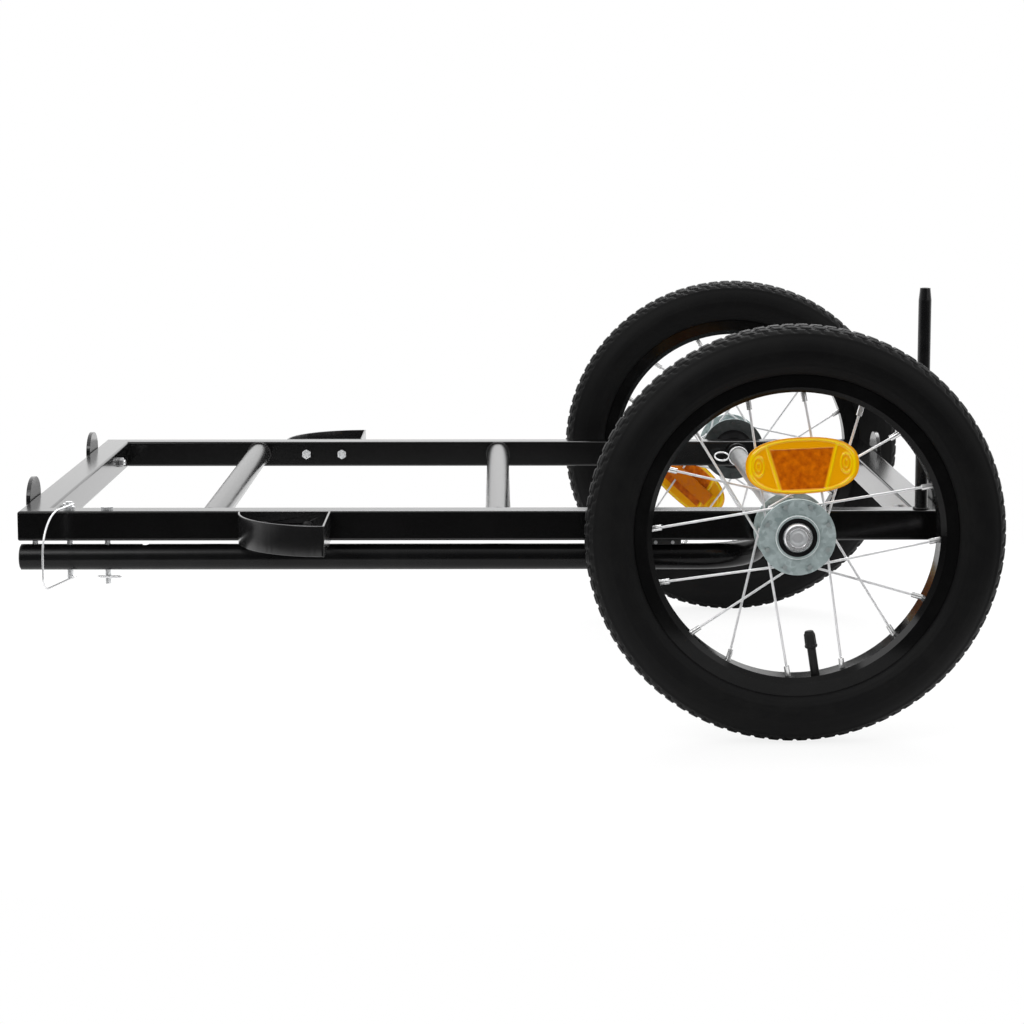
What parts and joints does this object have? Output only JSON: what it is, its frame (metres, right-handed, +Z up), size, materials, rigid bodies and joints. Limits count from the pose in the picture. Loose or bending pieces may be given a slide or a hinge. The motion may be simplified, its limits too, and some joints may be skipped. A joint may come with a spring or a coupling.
{
  "type": "bicycle cargo trailer",
  "caption": "Flat open-frame bicycle cargo trailer on two spoked wheels with quick-release axles, strap brackets, stop tabs, a flag post and a tow bar folded under the left rail.",
  "frame": {"origin": "on the ground under the middle of the whole trailer with its deck level", "axes": "+X to the rear, where the wheels are; -Y is the trailer's left side; +Z up"},
  "size_m": [0.9848, 0.742, 0.4435],
  "materials": {
    "black_paint": "satin",
    "zinc_hardware": "satin",
    "spring_wire": "gloss",
    "bright_tube": "satin",
    "zinc_hub": "satin",
    "bearing_steel": "satin",
    "axle_chrome": "polished",
    "black_rubber": "matte",
    "black_plastic": "matte",
    "tyre": "matte",
    "rim_paint": "gloss",
    "amber_lens": "gloss"
  },
  "bodies": {
    "frame": {"rail_left": "black_paint", "rail_right": "black_paint", "member_front": "black_paint", "member_rear": "black_paint", "cross_tube_front": "black_paint", "cross_tube_middle": "black_paint", "axle_tube": "bright_tube", "axle_collars": "black_paint", "axle_ring": "spring_wire", "stop_tabs_front": "black_paint", "stop_tabs_rear": "black_paint", "tab_bolts": "zinc_hardware", "tab_nuts": "zinc_hardware", "bracket_left": "black_paint", "bracket_right": "black_paint", "bracket_bolts": "zinc_hardware", "bracket_nuts": "zinc_hardware", "flag_post": "black_paint", "tow_spacer": "spring_wire", "tow_rest_pad": "black_rubber", "pad_screws": "zinc_hardware", "pivot_pin": "zinc_hardware", "pivot_clip": "spring_wire"},
    "tow_bar": {"tow_tube": "black_paint", "tow_end_cap": "black_plastic", "hitch_clevis": "zinc_hardware"},
    "lock_pin": {"lock_pin": "zinc_hardware"},
    "lock_wire": {"lock_wire": "spring_wire"},
    "hitch_pin": {"hitch_pin": "zinc_hardware"},
    "pull_ring": {"pull_ring": "spring_wire"},
    "wheel_left": {"tyre_left": "tyre", "inner_tube_left": "black_rubber", "rim_left": "rim_paint", "rim_strip_left": "black_rubber", "spokes_left": "spring_wire", "nipples_left": "zinc_hardware", "hub_left": "zinc_hub", "bearings_left": "bearing_steel", "seals_left": "black_plastic", "valve_cap_left": "black_plastic", "reflector_left": "amber_lens", "reflector_clip_left": "amber_lens"},
    "axle_left": {"axle_left": "axle_chrome", "button_spring_left": "spring_wire"},
    "button_left": {"button_left": "axle_chrome"},
    "wheel_right": {"tyre_right": "tyre", "inner_tube_right": "black_rubber", "rim_right": "rim_paint", "rim_strip_right": "black_rubber", "spokes_right": "spring_wire", "nipples_right": "zinc_hardware", "hub_right": "zinc_hub", "bearings_right": "bearing_steel", "seals_right": "black_plastic", "valve_cap_right": "black_plastic", "reflector_right": "amber_lens", "reflector_clip_right": "amber_lens"},
    "axle_right": {"axle_right": "axle_chrome", "button_spring_right": "spring_wire"},
    "button_right": {"button_right": "axle_chrome"}
  },
  "joints": [
    {"name": "tow_bar_swing", "type": "hinge", "parent": "frame", "child": "tow_bar", "pos_m": [-0.3971, -0.2665, 0.1734], "axis": [0, 0, 1], "range_deg": [0, 180]},
    {"name": "lock_wire_swing", "type": "hinge", "parent": "lock_pin", "child": "lock_wire", "pos_m": [-0.4351, -0.2665, 0.227], "axis": [-0.9744, 0.225, 0], "range_deg": [0, 120]},
    {"name": "lock_pin_lift", "type": "slide", "parent": "frame", "child": "lock_pin", "axis": [0, 0, 1], "range_m": [0, 0.06]},
    {"name": "hitch_pin_pull", "type": "slide", "parent": "tow_bar", "child": "hitch_pin", "axis": [0, 0, 1], "range_m": [0, 0.04]},
    {"name": "pull_ring_swing", "type": "hinge", "parent": "hitch_pin", "child": "pull_ring", "pos_m": [0.2594, -0.1765, 0.1895], "axis": [0, 1, 0], "range_deg": [0, 180]},
    {"name": "axle_left_pull", "type": "slide", "parent": "frame", "child": "axle_left", "axis": [0, -1, 0], "range_m": [0, 0.08]},
    {"name": "wheel_left_spin", "type": "hinge", "parent": "axle_left", "child": "wheel_left", "pos_m": [0.2859, -0.3284, 0.2065], "axis": [0, 1, 0], "continuous": true},
    {"name": "button_left_press", "type": "slide", "parent": "axle_left", "child": "button_left", "axis": [0, 1, 0], "range_m": [0, 0.0025], "stiffness_N_per_m": 400, "deforming": ["button_spring_left"]},
    {"name": "axle_right_pull", "type": "slide", "parent": "frame", "child": "axle_right", "axis": [0, 1, 0], "range_m": [0, 0.08]},
    {"name": "wheel_right_spin", "type": "hinge", "parent": "axle_right", "child": "wheel_right", "pos_m": [0.2859, 0.3284, 0.2065], "axis": [0, 1, 0], "continuous": true},
    {"name": "button_right_press", "type": "slide", "parent": "axle_right", "child": "button_right", "axis": [0, -1, 0], "range_m": [0, 0.0025], "stiffness_N_per_m": 400, "deforming": ["button_spring_right"]}
  ],
  "couplings": [
    {"joint": "lock_pin_lift", "follows": "lock_wire_swing", "m_per_rad": 0.0286}
  ]
}
